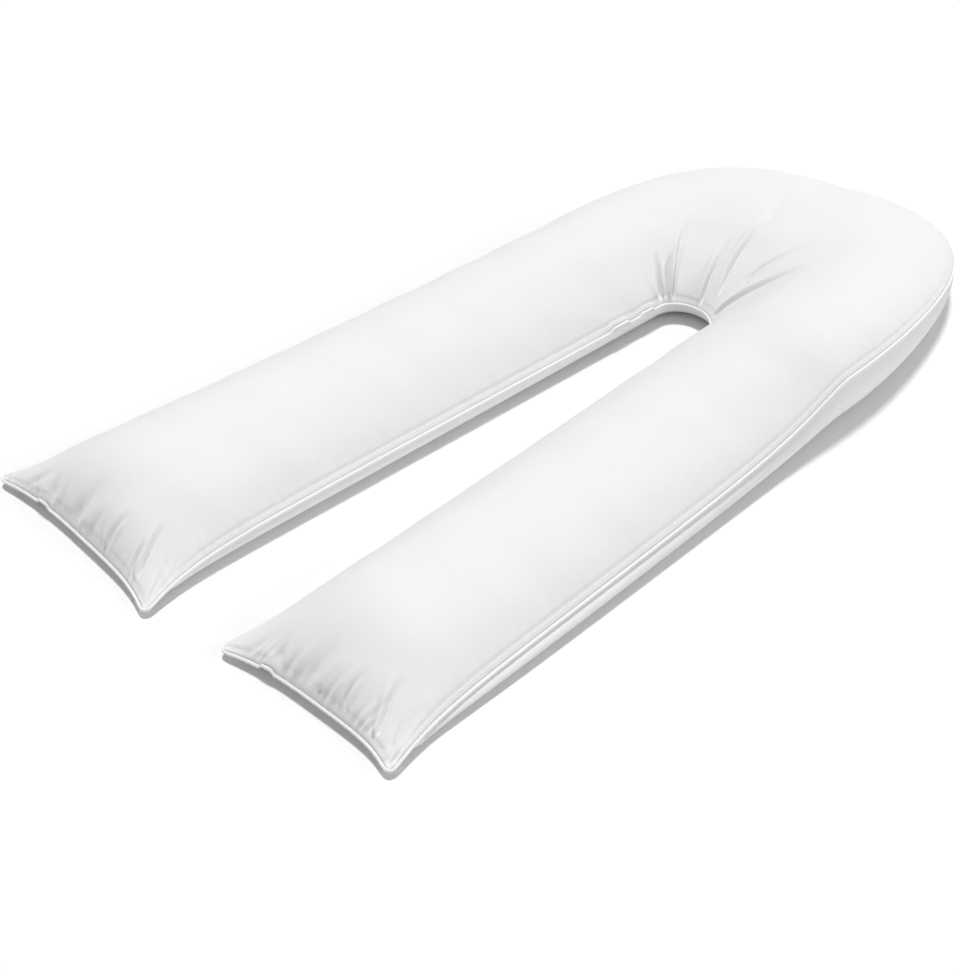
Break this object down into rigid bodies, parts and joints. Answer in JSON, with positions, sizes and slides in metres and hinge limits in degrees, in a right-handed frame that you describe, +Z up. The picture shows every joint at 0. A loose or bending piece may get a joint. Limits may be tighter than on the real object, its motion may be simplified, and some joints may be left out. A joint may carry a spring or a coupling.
{
  "type": "u-shaped pregnancy pillow",
  "caption": "Filled U-shaped full-body support pillow in white cloth, two long arms joined by a rounded bend, with a piped edge seam.",
  "frame": {"origin": "on the surface that the pillow lies on, under the middle of its box", "axes": "+X across the two arms, +Y from the open ends to the bend, +Z up out of the lying pillow"},
  "size_m": [0.7956, 1.478, 0.1483],
  "materials": {
    "pillow_cloth": "soft matt white woven cloth with a slight sheen",
    "piping_cloth": "the same white cloth, drawn tight over a narrow cord and stitched"
  },
  "bodies": {
    "root": {"cushion": "pillow_cloth", "seam_piping": "piping_cloth"}
  },
  "joints": []
}
